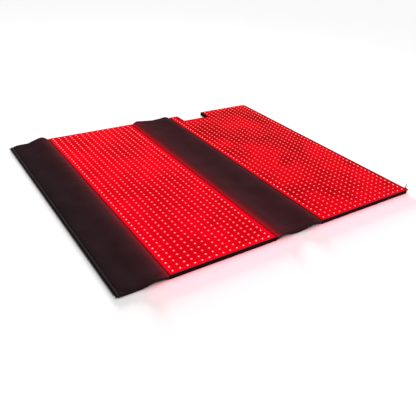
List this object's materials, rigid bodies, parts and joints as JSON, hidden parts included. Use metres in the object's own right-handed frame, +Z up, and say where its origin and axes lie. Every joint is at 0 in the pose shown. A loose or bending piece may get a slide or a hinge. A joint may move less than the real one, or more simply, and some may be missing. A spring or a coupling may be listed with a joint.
{
  "type": "light therapy wrap blanket",
  "caption": "Full-body wrap lying open: a lamp-lined lying panel and cover joined by folding padded side walls, with a neck cut-out and an edge zip.",
  "frame": {"origin": "centre of the open wrap on the floor", "axes": "+X across the open width from the left side wall to the cover, +Y from the foot edge to the head edge, +Z up"},
  "size_m": [1.8336, 1.5815, 0.0444],
  "materials": {
    "coated_cloth": "charcoal polyurethane-coated woven cloth, matte",
    "bound_edge": "black folded nylon binding tape, fine rib",
    "foam": "grey closed-cell insulating foam",
    "lamp_board": "white flexible lamp board",
    "lamp_face": "clear silicone over lit red lamps",
    "flat_cable": "extruded flat cable jacket",
    "zip_tape": "woven polyester zip tape",
    "zip_coil": "moulded nylon chain",
    "zip_metal": "nickel-plated zinc",
    "pull_plastic": "moulded polymer",
    "module_case": "moulded ABS, fine spark texture"
  },
  "bodies": {
    "base": {"base_shell": "coated_cloth", "base_foam": "foam", "base_supply_ribbon": "flat_cable", "base_led_board_1": "lamp_board", "base_led_board_2": "lamp_board", "base_led_board_3": "lamp_board", "base_led_board_4": "lamp_board", "base_face": "lamp_face", "base_binding": "bound_edge", "power_inlet": "module_case", "control_module": "module_case", "thermal_cutout": "zip_metal"},
    "left_wall": {"left_wall_shell": "coated_cloth", "left_wall_wadding": "foam", "left_wall_lining": "coated_cloth", "left_hem_binding": "bound_edge", "left_zip_tape": "zip_tape", "left_zip_coil": "zip_coil", "zip_insertion_pin": "zip_metal", "left_zip_stop": "zip_metal"},
    "middle_wall": {"middle_wall_shell": "coated_cloth", "middle_wall_wadding": "foam", "middle_wall_lining": "coated_cloth", "jumper_cable": "flat_cable"},
    "cover": {"cover_shell": "coated_cloth", "cover_foam": "foam", "cover_supply_ribbon": "flat_cable", "cover_led_board_1": "lamp_board", "cover_led_board_2": "lamp_board", "cover_led_board_3": "lamp_board", "cover_led_board_4": "lamp_board", "cover_face": "lamp_face", "cover_binding": "bound_edge", "right_zip_tape": "zip_tape", "right_zip_coil": "zip_coil", "zip_retainer_box": "zip_metal", "right_zip_stop": "zip_metal"},
    "slider": {"zip_slider": "zip_metal"},
    "pull": {"zip_pull": "pull_plastic"}
  },
  "joints": [
    {"name": "left_wall_fold", "type": "hinge", "parent": "base", "child": "left_wall", "pos_m": [-0.671, 0, 0.0215], "axis": [0, 1, 0], "range_deg": [0, 90]},
    {"name": "middle_wall_fold", "type": "hinge", "parent": "base", "child": "middle_wall", "pos_m": [-0.077, 0, 0.0215], "axis": [0, -1, 0], "range_deg": [0, 90]},
    {"name": "cover_fold", "type": "hinge", "parent": "middle_wall", "child": "cover", "pos_m": [0.215, 0, 0.0215], "axis": [0, -1, 0], "range_deg": [0, 90]},
    {"name": "slider_run", "type": "slide", "parent": "cover", "child": "slider", "axis": [0, 1, 0], "range_m": [0, 1.539]},
    {"name": "pull_swing", "type": "hinge", "parent": "slider", "child": "pull", "pos_m": [0.91365, -0.766, 0.0228], "axis": [1, 0, 0], "range_deg": [-80, 80]}
  ]
}
